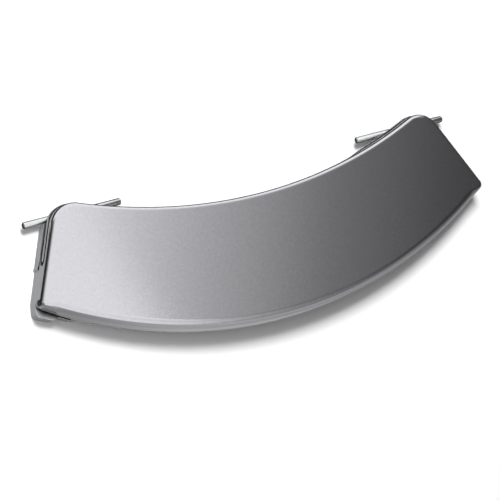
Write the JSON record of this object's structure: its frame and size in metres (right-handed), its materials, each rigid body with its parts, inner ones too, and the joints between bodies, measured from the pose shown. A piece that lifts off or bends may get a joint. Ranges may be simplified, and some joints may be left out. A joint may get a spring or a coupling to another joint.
{
  "type": "washing machine door handle",
  "caption": "Crescent pull handle for a front-loading washing machine door: lacquered front cover, moulded rear grip with end blocks, and steel hinge pins.",
  "frame": {"origin": "middle of the footprint, level with the rear flats of the two end blocks, which the handle lies on", "axes": "+X along the crescent's chord, to the right seen from the front; +Y towards the concave edge; +Z out of the lacquered face"},
  "size_m": [0.2316, 0.0732, 0.0173],
  "materials": {
    "silver_lacquer": "silver metallic lacquer under a clear coat",
    "grey_moulding": "plain grey moulded plastic, lightly textured",
    "zinc_steel": "bright zinc-plated drawn steel"
  },
  "bodies": {
    "handle": {"rear_body": "grey_moulding", "front_cover": "silver_lacquer"},
    "left_pin": {"left_hinge_pin": "zinc_steel"},
    "right_pin": {"right_hinge_pin": "zinc_steel"}
  },
  "joints": [
    {"name": "left_pin_turn", "type": "hinge", "parent": "handle", "child": "left_pin", "pos_m": [-0.08575, 0.03213, 0.0042], "axis": [1, 0, 0], "continuous": true},
    {"name": "right_pin_turn", "type": "hinge", "parent": "handle", "child": "right_pin", "pos_m": [0.08575, 0.03213, 0.0042], "axis": [1, 0, 0], "continuous": true}
  ]
}
